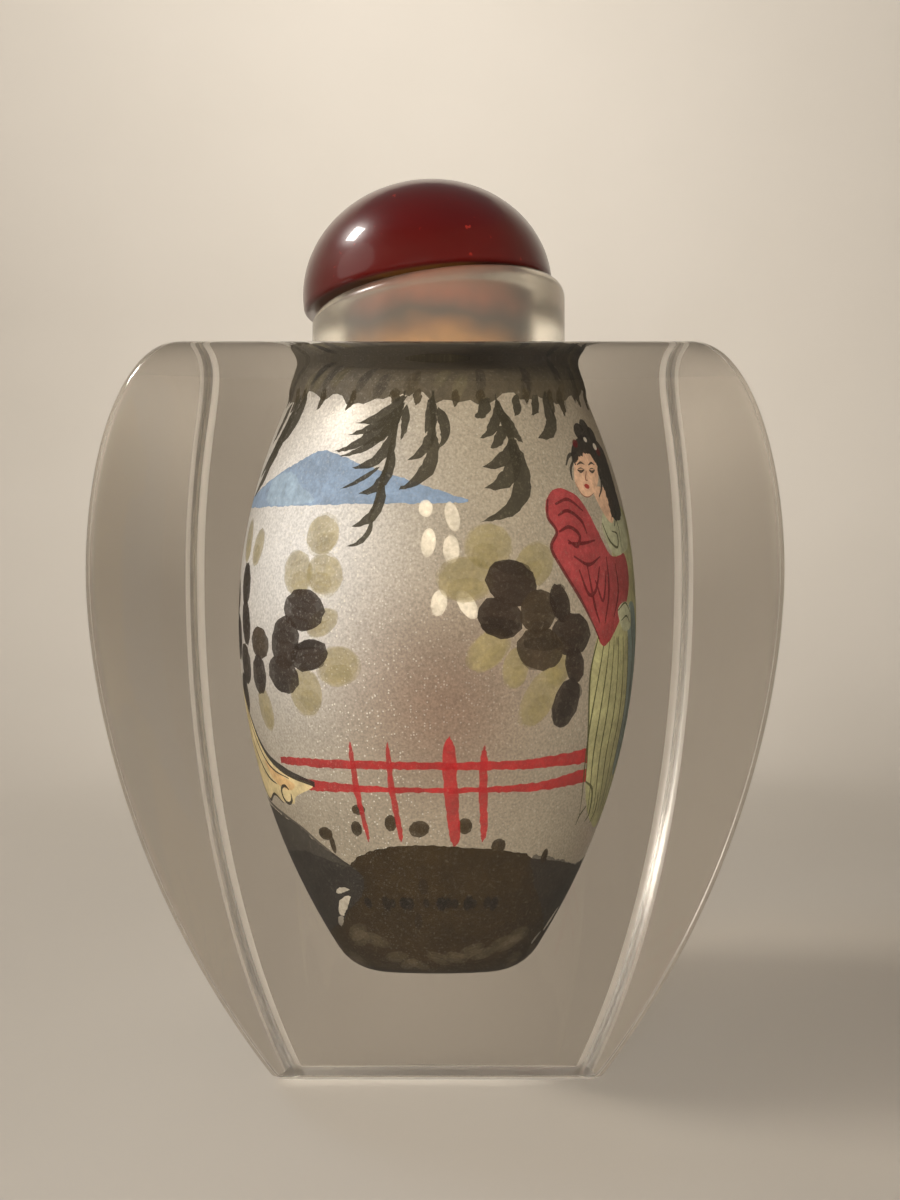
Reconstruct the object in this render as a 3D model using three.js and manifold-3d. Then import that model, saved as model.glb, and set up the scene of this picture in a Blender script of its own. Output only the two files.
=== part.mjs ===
// Snuff bottle: a square-plan barrel of clear crystal glass, hollowed to a round
// cavity through its bore, with a ground glass neck and a red glass stopper.
// Units are millimetres, +Z is up, the front face looks along -Y, and the origin
// is the middle of the flat base.
import * as THREE from 'three';
import { mergeVertices } from 'three/addons/utils/BufferGeometryUtils.js';
import Module from 'manifold-3d';

// ---- Body: four curved faces that meet in upright edges ----
const BODY_HEIGHT = 51.1;
const WIDEST_HALF = 21;          // half-width and half-depth at the widest level
const WIDEST_AT = 36.5;          // height of the widest level
const BASE_HALF_WIDTH = 11.7;
const BASE_HALF_DEPTH = 8.8;
const WIDTH_TAPER = 1.87;        // power of the taper below the widest level
const DEPTH_TAPER = 1.7;
const SHOULDER_INSET = 4.5;      // how far the shoulder rounds in to the flat top
const TAPER_STEPS = 14;
const SHOULDER_STEPS = 12;

// ---- Cavity: round in plan, ground out through the bore ----
const CAVITY_FLOOR = 9.2;
const CAVITY_RADIUS = 14.3;
const CAVITY_WIDEST_AT = 33.6;
const CAVITY_LOWER_DROP = 0.0172; // radius lost below the widest level: drop * height^power
const CAVITY_LOWER_POWER = 1.93;
const CAVITY_UPPER_ARC = 27;      // radius of the arc above the widest level
const CAVITY_CEILING = 48.4;
const CEILING_CORNER = 1.5;
const FLOOR_CORNER = 2.4;
const CAVITY_STEPS = 8;
const CORNER_STEPS = 3;
const BORE_RADIUS = 4.8;

// ---- Neck: a ground collar whose top is cut on a slant, higher on the right ----
const NECK_RADIUS = 10;
const NECK_HEIGHT = 7;            // above the body's flat top, at the axis
const NECK_CORNER = 1.2;          // rounding of the outer top edge
const TOP_SLANT = THREE.MathUtils.degToRad(7.5);
const SINK = 1;                   // depth that joined solids share

// ---- Stopper: a cabochon on a cork plug, sitting on the slanted neck ----
const SEAT_GAP = 0.3;             // clearance between pieces that touch
const DOME_RADIUS = 9.9;
const DOME_HEIGHT = 9;
const DOME_EDGE = 0.5;            // upright edge at the foot of the dome
const DOME_STEPS = 10;
const DOME_SHIFT = -0.8;          // the dome sits a little to the left
const PLUG_RADIUS = 3.9;
const PLUG_END_RADIUS = 3.6;
const PLUG_LENGTH = 5;
const PLUG_CHAMFER = 0.5;

const ROUND_SIDES = 48;

const wasm = await Module();
wasm.setup();

/** Turns a closed three.js geometry into a manifold solid. */
function solidOf(geometry) {
  const bare = geometry.clone();
  bare.deleteAttribute('normal');
  bare.deleteAttribute('uv');
  const merged = mergeVertices(bare, 1e-4);
  return new wasm.Manifold(new wasm.Mesh({
    numProp: 3,
    vertProperties: new Float32Array(merged.attributes.position.array),
    triVerts: new Uint32Array(merged.index.array),
  }));
}

/** Turns a manifold solid back into a three.js geometry. */
function geometryOf(solid) {
  const mesh = solid.getMesh();
  const geometry = new THREE.BufferGeometry();
  geometry.setAttribute('position', new THREE.BufferAttribute(mesh.vertProperties, 3));
  geometry.setIndex(new THREE.BufferAttribute(mesh.triVerts, 1));
  geometry.computeVertexNormals();
  return geometry;
}

/** Levels of the body: close together where its faces curve most. */
function bodyLevels() {
  const levels = [];
  for (let i = 0; i < TAPER_STEPS; i++) {
    levels.push(WIDEST_AT * i / TAPER_STEPS);
  }
  for (let i = 0; i <= SHOULDER_STEPS; i++) {
    const angle = Math.PI / 2 * i / SHOULDER_STEPS;
    levels.push(WIDEST_AT + (BODY_HEIGHT - WIDEST_AT) * Math.sin(angle));
  }
  return levels;
}

/** Half the body's width (or depth) at a level. */
function bodyHalf(z, baseHalf, taper) {
  if (z < WIDEST_AT) {
    const below = (WIDEST_AT - z) / WIDEST_AT;
    return WIDEST_HALF - (WIDEST_HALF - baseHalf) * below ** taper;
  }
  const above = Math.min(1, (z - WIDEST_AT) / (BODY_HEIGHT - WIDEST_AT));
  return WIDEST_HALF - SHOULDER_INSET * (1 - Math.sqrt(1 - above * above));
}

/** A slab with the body's outline, seen along +Y, and flat ends. */
function bodySlab(baseHalf, taper) {
  const levels = bodyLevels();
  const right = levels.map((z) => new THREE.Vector2(bodyHalf(z, baseHalf, taper), z));
  const left = right.map((p) => new THREE.Vector2(-p.x, p.y)).reverse();
  const depth = 2 * WIDEST_HALF + 2 * SINK;
  const slab = new THREE.ExtrudeGeometry(new THREE.Shape([...right, ...left]), {
    depth,
    bevelEnabled: false,
  });
  slab.translate(0, 0, -depth / 2);
  slab.rotateX(Math.PI / 2);
  return slab;
}

/** The glass block: one slab gives its width, the other its depth. */
function bodySolid() {
  const width = bodySlab(BASE_HALF_WIDTH, WIDTH_TAPER);
  const depth = bodySlab(BASE_HALF_DEPTH, DEPTH_TAPER).rotateZ(Math.PI / 2);
  return solidOf(width).intersect(solidOf(depth));
}

/** Points of a quarter circle round (x, y), between two angles in degrees. */
function corner(x, y, radius, fromDeg, toDeg) {
  const points = [];
  for (let i = 0; i <= CORNER_STEPS; i++) {
    const angle = THREE.MathUtils.degToRad(fromDeg + (toDeg - fromDeg) * i / CORNER_STEPS);
    points.push(new THREE.Vector2(x + radius * Math.cos(angle), y + radius * Math.sin(angle)));
  }
  return points;
}

/** A lathe solid about +Z from a profile of (radius, height) points. */
function turned(profile) {
  return new THREE.LatheGeometry(profile, ROUND_SIDES).rotateX(Math.PI / 2);
}

/** The collar, from inside the body's top to its slanted rim. */
function neckSolid() {
  const profile = [
    new THREE.Vector2(0, -SINK),
    new THREE.Vector2(NECK_RADIUS, -SINK),
    new THREE.Vector2(NECK_RADIUS, 0),
    ...corner(NECK_RADIUS - NECK_CORNER, NECK_HEIGHT - NECK_CORNER, NECK_CORNER, 0, 90),
    new THREE.Vector2(0, NECK_HEIGHT),
  ];
  const neck = turned(profile);
  const position = neck.attributes.position;
  for (let i = 0; i < position.count; i++) {
    const share = Math.max(0, position.getZ(i)) / NECK_HEIGHT;
    position.setZ(i, position.getZ(i) + share * position.getX(i) * Math.tan(TOP_SLANT));
  }
  neck.translate(0, 0, BODY_HEIGHT);
  return solidOf(neck);
}

/** Radius of the cavity at a level. */
function cavityRadius(z) {
  const above = z - CAVITY_WIDEST_AT;
  if (above < 0) {
    return CAVITY_RADIUS - CAVITY_LOWER_DROP * (-above) ** CAVITY_LOWER_POWER;
  }
  return CAVITY_RADIUS - CAVITY_UPPER_ARC + Math.sqrt(CAVITY_UPPER_ARC ** 2 - above * above);
}

/** The hollow: cavity and bore, open through the top of the neck. */
function hollowSolid() {
  const foot = CAVITY_FLOOR + FLOOR_CORNER;
  const head = CAVITY_CEILING - CEILING_CORNER;
  const wall = [];
  for (let i = 1; i < 2 * CAVITY_STEPS; i++) {
    const z = i < CAVITY_STEPS
      ? foot + (CAVITY_WIDEST_AT - foot) * i / CAVITY_STEPS
      : CAVITY_WIDEST_AT + (head - CAVITY_WIDEST_AT) * (i - CAVITY_STEPS) / CAVITY_STEPS;
    wall.push(new THREE.Vector2(cavityRadius(z), z));
  }
  const top = BODY_HEIGHT + NECK_HEIGHT + NECK_RADIUS * Math.tan(TOP_SLANT) + SINK;
  return solidOf(turned([
    new THREE.Vector2(0, CAVITY_FLOOR),
    ...corner(cavityRadius(foot) - FLOOR_CORNER, foot, FLOOR_CORNER, -90, 0),
    ...wall,
    ...corner(cavityRadius(head) - CEILING_CORNER, head, CEILING_CORNER, 0, 90),
    new THREE.Vector2(BORE_RADIUS, CAVITY_CEILING),
    new THREE.Vector2(BORE_RADIUS, top),
    new THREE.Vector2(0, top),
  ]));
}

/** The red cabochon, its flat underside at height 0. */
function domeGeometry() {
  const profile = [new THREE.Vector2(0, 0), new THREE.Vector2(DOME_RADIUS, 0)];
  for (let i = 0; i < DOME_STEPS; i++) {
    const angle = Math.PI / 2 * i / DOME_STEPS;
    profile.push(new THREE.Vector2(
      DOME_RADIUS * Math.cos(angle),
      DOME_EDGE + (DOME_HEIGHT - DOME_EDGE) * Math.sin(angle),
    ));
  }
  profile.push(new THREE.Vector2(0, DOME_HEIGHT));
  return turned(profile);
}

/** The cork plug, hanging from just below height 0. */
function plugGeometry() {
  const top = -SEAT_GAP;
  const bottom = top - PLUG_LENGTH;
  return turned([
    new THREE.Vector2(0, bottom),
    new THREE.Vector2(PLUG_END_RADIUS - PLUG_CHAMFER, bottom),
    new THREE.Vector2(PLUG_END_RADIUS, bottom + PLUG_CHAMFER),
    new THREE.Vector2(PLUG_RADIUS, top),
    new THREE.Vector2(0, top),
  ]);
}

function named(name, geometry, material) {
  const mesh = new THREE.Mesh(geometry, material);
  mesh.name = name;
  return mesh;
}

function finish(color, roughness) {
  return new THREE.MeshStandardMaterial({ color, roughness, metalness: 0 });
}

const clearGlass = finish(0xd8d4c8, 0.05);
const redGlass = finish(0x6e0f0c, 0.1);
const cork = finish(0x8a6440, 0.9);

const group = new THREE.Group();

const bottle = bodySolid().add(neckSolid()).subtract(hollowSolid());
group.add(named('bottle', geometryOf(bottle), clearGlass));

// The stopper follows the slant of the neck's top.
const stopper = new THREE.Group();
const seatHeight = BODY_HEIGHT + NECK_HEIGHT + DOME_SHIFT * Math.tan(TOP_SLANT);
stopper.position.set(DOME_SHIFT, 0, seatHeight + SEAT_GAP);
stopper.rotation.y = -TOP_SLANT;
stopper.add(named('stopper_dome', domeGeometry(), redGlass));
const plug = named('stopper_plug', plugGeometry(), cork);
plug.position.x = -DOME_SHIFT;
stopper.add(plug);
group.add(stopper);

export default group;
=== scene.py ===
# Snuff bottle: the looks of a square crystal bottle painted on its inner wall.
# Lengths are written in millimetres and turned into metres by MM.
import math
import random

import bmesh
import bpy
import numpy as np
from mathutils import Matrix, Vector
from mathutils.geometry import delaunay_2d_cdt


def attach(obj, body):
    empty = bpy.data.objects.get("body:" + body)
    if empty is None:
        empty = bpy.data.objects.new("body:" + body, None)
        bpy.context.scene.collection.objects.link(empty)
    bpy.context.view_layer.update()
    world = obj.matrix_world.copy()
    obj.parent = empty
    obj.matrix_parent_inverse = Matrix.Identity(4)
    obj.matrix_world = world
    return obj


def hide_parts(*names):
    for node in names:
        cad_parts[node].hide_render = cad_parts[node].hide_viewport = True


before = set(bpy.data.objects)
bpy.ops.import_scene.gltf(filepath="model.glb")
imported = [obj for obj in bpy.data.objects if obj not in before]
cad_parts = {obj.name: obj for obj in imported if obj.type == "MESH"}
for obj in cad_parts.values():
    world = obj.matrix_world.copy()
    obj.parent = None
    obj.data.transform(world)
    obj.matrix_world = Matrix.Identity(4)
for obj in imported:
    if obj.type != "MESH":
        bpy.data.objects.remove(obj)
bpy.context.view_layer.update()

MM = 0.001

# ---- Sizes shared with the solids ----
BODY_HEIGHT = 51.1
WIDEST_HALF = 21.0
WIDEST_AT = 36.5
BASE_HALF_WIDTH = 11.7
BASE_HALF_DEPTH = 8.8
WIDTH_TAPER = 1.87
DEPTH_TAPER = 1.7
SHOULDER_INSET = 4.5
CAVITY_FLOOR = 9.2
CAVITY_RADIUS = 14.3
CAVITY_WIDEST_AT = 33.6
CAVITY_LOWER_DROP = 0.0172
CAVITY_LOWER_POWER = 1.93
CAVITY_UPPER_ARC = 27.0
CAVITY_CEILING = 48.4
CEILING_CORNER = 1.5
BORE_RADIUS = 4.8
NECK_RADIUS = 10.0
NECK_HEIGHT = 7.0
NECK_CORNER = 1.2
TOP_SLANT = math.radians(7.5)
DOME_RADIUS = 9.9
DOME_HEIGHT = 9.0
DOME_EDGE = 0.5
DOME_SHIFT = -0.8          # the stopper lies off the axis, to the left
PLUG_RADIUS = 3.9
PLUG_LENGTH = 5.0
SEAT_GAP = 0.3

# ---- Finer forms that only the looks have ----
EDGE_ROUND = 0.8           # rounding of the glass's edges
FLOOR_CORNER = 4.0         # rounding round the cavity's floor, a little fuller than the solid's
RING_SIDE = 30             # points along each side of a ring round the body
RING_CORNER = 6            # points round each corner
LOWER_LEVELS = 60          # rings up the body to its widest, and above it
UPPER_LEVELS = 44
PAINT_DEPTH = 0.05         # the paint's face, out in the glass beyond the cavity wall
PAINT_THICK = 0.12
PAINT_CELL = 0.9           # spacing of the wall's points round the wall
PAINT_ROW = 1.3            # the most that they lie apart up the wall
WRAP = 2 * math.pi * CAVITY_RADIUS       # the unrolled wall's full width
HALF_WRAP = WRAP / 2
FRAY_STEP = 0.3            # spacing of the shaken points along a dry brush mark
DOME_SINK = 0.22           # the dome and plug lie this much lower than their solids
PLUG_SINK = 0.25
BRUSH_SEED = 7
CORK_SEED = 3


# ---- Mesh and material helpers ----

def link(name, data):
    """A new object in the scene, for a mesh, a lamp or a camera."""
    thing = bpy.data.objects.new(name, data)
    bpy.context.scene.collection.objects.link(thing)
    return thing


def smooth_shading(thing, smooth_angle):
    """Shades a piece smooth, apart from edges that turn by more than the angle in degrees."""
    bpy.ops.object.select_all(action="DESELECT")
    bpy.context.view_layer.objects.active = thing
    thing.select_set(True)
    bpy.ops.object.shade_smooth_by_angle(angle=math.radians(smooth_angle))


def add_mesh(name, verts, faces, materials, slots=None, smooth_angle=30.0):
    """A piece made from points in millimetres; slots gives each face its material."""
    mesh = bpy.data.meshes.new(name)
    mesh.from_pydata([Vector(v) * MM for v in verts], [], faces)
    for material in materials:
        mesh.materials.append(material)
    if slots is not None:
        mesh.polygons.foreach_set("material_index", slots)
    mesh.validate()
    mesh.update()
    thing = link(name, mesh)
    smooth_shading(thing, smooth_angle)
    return thing


def loft(rings, close_end=True):
    """Joins rings of equal length by quads; fans close the start and, if wanted, the end."""
    count = len(rings[0])
    verts = [point for ring in rings for point in ring]
    faces = []
    for i in range(len(rings) - 1):
        for k in range(count):
            a = i * count + k
            b = i * count + (k + 1) % count
            faces.append((a, b, b + count, a + count))
    ends = [(0, True), (len(rings) - 1, False)] if close_end else [(0, True)]
    for ring, flip in ends:
        centre = len(verts)
        verts.append(tuple(np.mean(rings[ring], axis=0)))
        for k in range(count):
            a = ring * count + k
            b = ring * count + (k + 1) % count
            faces.append((b, a, centre) if flip else (a, b, centre))
    return verts, faces


def circle(radius, z, count):
    """A ring round the axis that starts at the middle of the front."""
    return [(radius * math.sin(2 * math.pi * k / count),
             -radius * math.cos(2 * math.pi * k / count), z) for k in range(count)]


def new_material(name):
    """A node material with its Principled shader."""
    material = bpy.data.materials.new(name)
    material.use_nodes = True
    return material, material.node_tree, material.node_tree.nodes["Principled BSDF"]


def feed(made, inputs):
    """Sets a node's inputs to plain values or colours, or links the sockets that feed them."""
    for key, value in inputs.items():
        if isinstance(value, bpy.types.NodeSocket):
            made.id_data.links.new(value, made.inputs[key])
        elif isinstance(value, tuple):
            made.inputs[key].default_value = (*value, 1.0)
        else:
            made.inputs[key].default_value = value


def node(tree, kind, inputs, **settings):
    """Adds a node, with its settings and its inputs."""
    made = tree.nodes.new(kind)
    for key, value in settings.items():
        setattr(made, key, value)
    feed(made, inputs)
    return made


def compute(tree, operation, a, b):
    """The outcome of an operation on two values or sockets."""
    return node(tree, "ShaderNodeMath", {0: a, 1: b}, operation=operation).outputs[0]


def object_place(tree):
    """The place of a point on the object, which all the textures go by."""
    return node(tree, "ShaderNodeTexCoord", {}).outputs["Object"]


def noise(tree, scale, detail=3.0, roughness=0.55):
    """Noise fixed to the object, with its scale given in features per millimetre."""
    return node(tree, "ShaderNodeTexNoise", {
        "Vector": object_place(tree), "Scale": scale / MM, "Detail": detail,
        "Roughness": roughness,
    }).outputs["Fac"]


def ramp(tree, fac, stops):
    """A colour ramp from (place, grey or colour) stops."""
    made = node(tree, "ShaderNodeValToRGB", {"Fac": fac})
    elements = made.color_ramp.elements
    while len(elements) < len(stops):
        elements.new(0.5)
    for element, (place, value) in zip(elements, stops):
        element.position = place
        grey = not isinstance(value, tuple)
        element.color = (value, value, value, 1.0) if grey else (*value, 1.0)
    return made.outputs["Color"]


def spread(tree, fac, from_low, from_high, to_low, to_high):
    """Stretches a texture's value to another range."""
    return node(tree, "ShaderNodeMapRange", {
        "Value": fac, "From Min": from_low, "From Max": from_high,
        "To Min": to_low, "To Max": to_high,
    }).outputs["Result"]


def mix(tree, fac, a, b, blend="MIX"):
    """Mixes two colours."""
    made = node(tree, "ShaderNodeMix", {}, data_type="RGBA", blend_type=blend)
    # A colour mix has its colours in sockets 6 and 7 and gives its outcome in socket 2.
    feed(made, {0: fac, 6: a, 7: b})
    return made.outputs[2]


def bump(tree, height, strength, distance):
    """A bump of the given depth in millimetres."""
    return node(tree, "ShaderNodeBump", {
        "Height": height, "Strength": strength, "Distance": distance * MM,
    }).outputs["Normal"]


def srgb(red, green, blue):
    """A colour given on the 0-255 scale, as the shader wants it."""
    return tuple(
        c / 255 / 12.92 if c <= 10 else ((c / 255 + 0.055) / 1.055) ** 2.4
        for c in (red, green, blue)
    )


# ---- Materials ----

GLASS_IOR = 1.52

# The finishes of the glass, in the order of the bottle's material slots.
CLEAR, GROUND, EDGE, STAIN = range(4)
BASE_RINGS = 5             # rings at the base that have the honed finish
BORE_LEVELS = (56.5, 54.0, 51.0)


def glass_material(name, roughness, tint, shadow, clearness=1.0):
    """Glass by plain values. Lamps reach through it, dimmed to the shadow grey."""
    material, tree, shader = new_material(name)
    feed(shader, {"Base Color": tint, "Transmission Weight": clearness, "IOR": GLASS_IOR,
                  "Roughness": roughness})
    path = node(tree, "ShaderNodeLightPath", {})
    clear = node(tree, "ShaderNodeBsdfTransparent", {"Color": shadow})
    both = node(tree, "ShaderNodeMixShader", {
        "Fac": path.outputs["Is Shadow Ray"], 1: shader.outputs["BSDF"], 2: clear.outputs["BSDF"],
    })
    feed(tree.nodes["Material Output"], {"Surface": both.outputs[0]})
    return material


def paint_material():
    """Pearly ground with fine glitter whose flakes are painted as near-white glints, and ink and colour
    brushed over it.
    """
    material, tree, shader = new_material("painted_lining")
    under = node(tree, "ShaderNodeAttribute", {}, attribute_name="ground")
    ground = under.outputs["Color"]
    pigment = node(tree, "ShaderNodeAttribute", {}, attribute_name="pigment")

    clouds = spread(tree, noise(tree, 0.16, 4.0), 0.3, 0.7, 0.9, 1.06)
    grain = spread(tree, noise(tree, 6.0, 2.0), 0.3, 0.72, 0.76, 1.22)
    pearl = mix(tree, 1.0, mix(tree, 1.0, ground, clouds, "MULTIPLY"), grain, "MULTIPLY")
    # Glitter: small cells of which some are flakes, painted near-white as glints, weaker where the
    # ground's alpha is low.
    flakes_per_mm, flake_radius, least_shine = 5.6, 0.33, 0.07
    flakes = node(tree, "ShaderNodeTexVoronoi", {
        "Vector": object_place(tree), "Scale": flakes_per_mm / MM,
    })
    near = compute(tree, "LESS_THAN", flakes.outputs["Distance"], flake_radius)
    split = node(tree, "ShaderNodeSeparateColor", {"Color": flakes.outputs["Color"]})
    chosen = spread(tree, split.outputs["Red"], 0.72, 0.9, 0.0, 1.0)
    chosen = compute(tree, "MULTIPLY", under.outputs["Alpha"], chosen)
    painted_glints = compute(tree, "MULTIPLY", near, chosen)

    # Brushed colour thins and thickens, and lets a little pearl through.
    wash = spread(tree, noise(tree, 0.6, 5.0, 0.65), 0.28, 0.75, 0.7, 1.36)
    bristles = spread(tree, noise(tree, 3.6, 3.0, 0.6), 0.3, 0.7, 0.82, 1.16)
    brushed = mix(tree, 1.0, pigment.outputs["Color"], wash, "MULTIPLY")
    brushed = mix(tree, 1.0, brushed, bristles, "MULTIPLY")
    thin = spread(tree, noise(tree, 4.5, 4.0, 0.7), 0.56, 0.74, 1.0, 0.78)
    cover = compute(tree, "MULTIPLY", pigment.outputs["Alpha"], thin)
    shown = mix(tree, cover, pearl, brushed)
    peep = compute(tree, "MAXIMUM", compute(tree, "SUBTRACT", 1.0, cover), least_shine)
    sparkle = compute(tree, "MULTIPLY", painted_glints, peep)
    # Where the paint is thin the flakes show as near-white dots: painted glints.
    feed(shader, {
        "Base Color": mix(tree, sparkle, shown, (1.0, 0.98, 0.9)),
        "Roughness": spread(tree, cover, 0.0, 1.0, 0.42, 0.68),
        "Metallic": spread(tree, cover, 0.0, 1.0, 0.35, 0.0),
        "Specular IOR Level": 0.2,
        "Normal": bump(tree, noise(tree, 3.2, 4.0), 0.35, 0.02),
    })
    return material


def red_glass_material():
    """Deep red glass, nearly opaque, with faint clouds and a few pits."""
    material, tree, shader = new_material("red_glass")
    clouds = noise(tree, 0.12, 4.0, 0.6)
    deep = mix(tree, clouds, srgb(50, 0, 0), srgb(74, 1, 0))
    pits = ramp(tree, noise(tree, 1.4, 2.0), [(0.0, 0.0), (0.7, 0.0), (0.76, 1.0)])
    feed(shader, {
        "Base Color": mix(tree, pits, deep, srgb(120, 30, 22)),
        "Roughness": 0.3,
        "Specular IOR Level": 0.4,
        "IOR": 1.5,
        "Coat Weight": 0.6,
        "Coat Roughness": 0.05,
        "Normal": bump(tree, noise(tree, 0.35, 3.0), 0.2, 0.06),
    })
    return material


def bore_material():
    """The bore's wall, unpolished and stained brown by the cork, with a painted reflection of the red dome
    making it pinker near the dome.
    """
    material, tree, shader = new_material("bore_stain_and_reflection")
    lowest, highest, unevenness = 52.0, 60.0, 3.0
    height = node(tree, "ShaderNodeSeparateXYZ", {"Vector": object_place(tree)}).outputs["Z"]
    patches = compute(tree, "MULTIPLY", noise(tree, 0.3, 4.0, 0.6), unevenness * MM)
    level = compute(tree, "ADD", height, patches)
    share = spread(tree, level, lowest * MM, highest * MM, 0.0, 1.0)
    # The upper stops, pinker, are a painted reflection of the red dome.
    stain_and_reflection = ramp(tree, share, [(0.0, srgb(44, 36, 22)), (0.24, srgb(48, 38, 22)),
                               (0.32, srgb(140, 98, 44)), (0.5, srgb(92, 56, 18)),
                               (0.62, srgb(34, 16, 5)), (0.8, srgb(104, 50, 27)),
                               (1.0, srgb(84, 46, 22))])
    mottle = spread(tree, noise(tree, 1.1, 4.0, 0.6), 0.3, 0.7, 0.75, 1.15)
    feed(shader, {"Base Color": mix(tree, 1.0, stain_and_reflection, mottle, "MULTIPLY"), "Roughness": 0.7})
    return material


def cork_material():
    """Brown cork with dark pores."""
    material, tree, shader = new_material("cork")
    body = mix(tree, noise(tree, 0.9, 5.0, 0.65), srgb(84, 50, 32), srgb(128, 86, 58))
    pores = ramp(tree, noise(tree, 2.2, 3.0), [(0.0, 1.0), (0.36, 1.0), (0.42, 0.0)])
    feed(shader, {"Base Color": mix(tree, pores, body, srgb(62, 36, 22)), "Roughness": 0.85,
                  "Normal": bump(tree, noise(tree, 1.8, 5.0), 0.8, 0.15)})
    return material


def stage_material():
    """Plain pale matt paper."""
    material, tree, shader = new_material("stage_paper")
    tone = mix(tree, noise(tree, 0.02, 2.0), srgb(190, 184, 175), srgb(196, 190, 182))
    feed(shader, {"Base Color": tone, "Roughness": 0.95})
    return material


# ---- The glass bottle ----

def body_half(z, base_half, taper):
    """Half the body's width or depth at a level."""
    if z < WIDEST_AT:
        below = (WIDEST_AT - z) / WIDEST_AT
        return WIDEST_HALF - (WIDEST_HALF - base_half) * below ** taper
    above = min(1.0, (z - WIDEST_AT) / (BODY_HEIGHT - WIDEST_AT))
    return WIDEST_HALF - SHOULDER_INSET * (1 - math.sqrt(1 - above * above))


def body_halves(z):
    """Half the body's width and half its depth at a level."""
    return body_half(z, BASE_HALF_WIDTH, WIDTH_TAPER), body_half(z, BASE_HALF_DEPTH, DEPTH_TAPER)


def cavity_radius(z):
    """Radius of the cavity at a level."""
    above = z - CAVITY_WIDEST_AT
    if above < 0:
        return CAVITY_RADIUS - CAVITY_LOWER_DROP * (-above) ** CAVITY_LOWER_POWER
    return CAVITY_RADIUS - CAVITY_UPPER_ARC + math.sqrt(CAVITY_UPPER_ARC ** 2 - above * above)


def foot_of_wall():
    """Where the cavity's wall runs into the rounding of its floor, and its lean there."""
    below = CAVITY_WIDEST_AT - (CAVITY_FLOOR + FLOOR_CORNER / 2)
    slope = CAVITY_LOWER_DROP * CAVITY_LOWER_POWER * below ** (CAVITY_LOWER_POWER - 1)
    lean = math.atan(slope)
    return CAVITY_FLOOR + FLOOR_CORNER * (1 - math.sin(lean)), lean


FOOT_LEVEL, FOOT_LEAN = foot_of_wall()


def side_places():
    """Places along one side of a ring, from -1 to 1, close together near its ends."""
    near_end = [0.965, 0.985]
    inner = np.linspace(-0.94, 0.94, RING_SIDE - 2 * len(near_end))
    return [-p for p in reversed(near_end)] + list(inner) + near_end


def body_ring(half_width, half_depth, z):
    """A rectangle with rounded corners, from the left end of its front and on to the right."""
    ring = []
    corners = [(1, -1), (1, 1), (-1, 1), (-1, -1)]
    for index, (sx, sy) in enumerate(corners):
        # The side that leads to this corner, then the corner itself.
        along_x = index % 2 == 0
        run = (half_width if along_x else half_depth) - EDGE_ROUND
        for place in side_places():
            if along_x:
                ring.append((place * run * sx, sy * half_depth, z))
            else:
                ring.append((sx * half_width, place * run * sy, z))
        start = math.radians(-90 + 90 * index)
        for k in range(RING_CORNER):
            angle = start + math.radians(90) * k / (RING_CORNER - 1)
            ring.append((sx * (half_width - EDGE_ROUND) + EDGE_ROUND * math.cos(angle),
                         sy * (half_depth - EDGE_ROUND) + EDGE_ROUND * math.sin(angle), z))
    return ring


def ring_circle(radius, z):
    """A circle with as many points as a ring of the body, in step with it."""
    count = 4 * (RING_SIDE + RING_CORNER)
    offset = -(RING_SIDE - 1) / 2
    ring = []
    for k in range(count):
        angle = 2 * math.pi * (k + offset) / count - math.pi / 2
        ring.append((radius * math.cos(angle), radius * math.sin(angle), z))
    return ring


def between(ring_a, ring_b, share):
    """A ring part of the way from one to another."""
    return [tuple(np.array(a) * (1 - share) + np.array(b) * share)
            for a, b in zip(ring_a, ring_b)]


def slanted(ring):
    """A ring of the neck, sheared so that the neck's top lies on the slant."""
    out = []
    for x, y, z in ring:
        share = max(0.0, z - BODY_HEIGHT) / NECK_HEIGHT
        out.append((x, y, z + share * x * math.tan(TOP_SLANT)))
    return out


def quarter(x, y, radius, from_deg, to_deg, steps):
    """Points of an arc in a profile, as (radius, height)."""
    angles = np.radians(np.linspace(from_deg, to_deg, steps + 1))
    return [(x + radius * math.cos(a), y + radius * math.sin(a)) for a in angles]


def body_rings():
    """Rings of the outside, from the base's middle to the flat top's edge."""
    flat_w = BASE_HALF_WIDTH - EDGE_ROUND
    flat_d = BASE_HALF_DEPTH - EDGE_ROUND
    rings = [body_ring(flat_w * share, flat_d * share, 0.0) for share in (0.5, 0.95)]
    # The rounded edge of the base follows the sides as they lean out.
    for turn in np.radians((0, 25, 50, 75)):
        rise = EDGE_ROUND * (1 - math.cos(turn))
        run = EDGE_ROUND * math.sin(turn)
        half_w, half_d = body_halves(rise)
        rings.append(body_ring(flat_w + run + (half_w - BASE_HALF_WIDTH),
                               flat_d + run + (half_d - BASE_HALF_DEPTH), rise))
    levels = list(np.linspace(EDGE_ROUND, WIDEST_AT, LOWER_LEVELS, endpoint=False))
    for share in np.linspace(0, 1, UPPER_LEVELS):
        levels.append(WIDEST_AT + (BODY_HEIGHT - WIDEST_AT) * math.sin(share * math.pi / 2))
    return rings + [body_ring(*body_halves(z), z) for z in levels]


def neck_rings():
    """Rings of the neck's outside, its slanted rim and the bore's mouth."""
    fillet = 0.3
    rim = 0.35
    flat_inset = 0.3
    plain_heights = (0.6, 2.0, 3.5, 5.0)
    top = BODY_HEIGHT + NECK_HEIGHT
    profile = quarter(NECK_RADIUS + fillet, BODY_HEIGHT + fillet, fillet, 270, 180, 4)
    profile += [(NECK_RADIUS, BODY_HEIGHT + height) for height in plain_heights]
    profile += quarter(NECK_RADIUS - NECK_CORNER, top - NECK_CORNER, NECK_CORNER, 0, 90, 8)
    profile += [(NECK_RADIUS - NECK_CORNER - flat_inset, top),
                (BORE_RADIUS + rim + flat_inset, top)]
    profile += quarter(BORE_RADIUS + rim, top - rim, rim, 90, 180, 4)
    return [slanted(ring_circle(r, z)) for r, z in profile]


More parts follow.
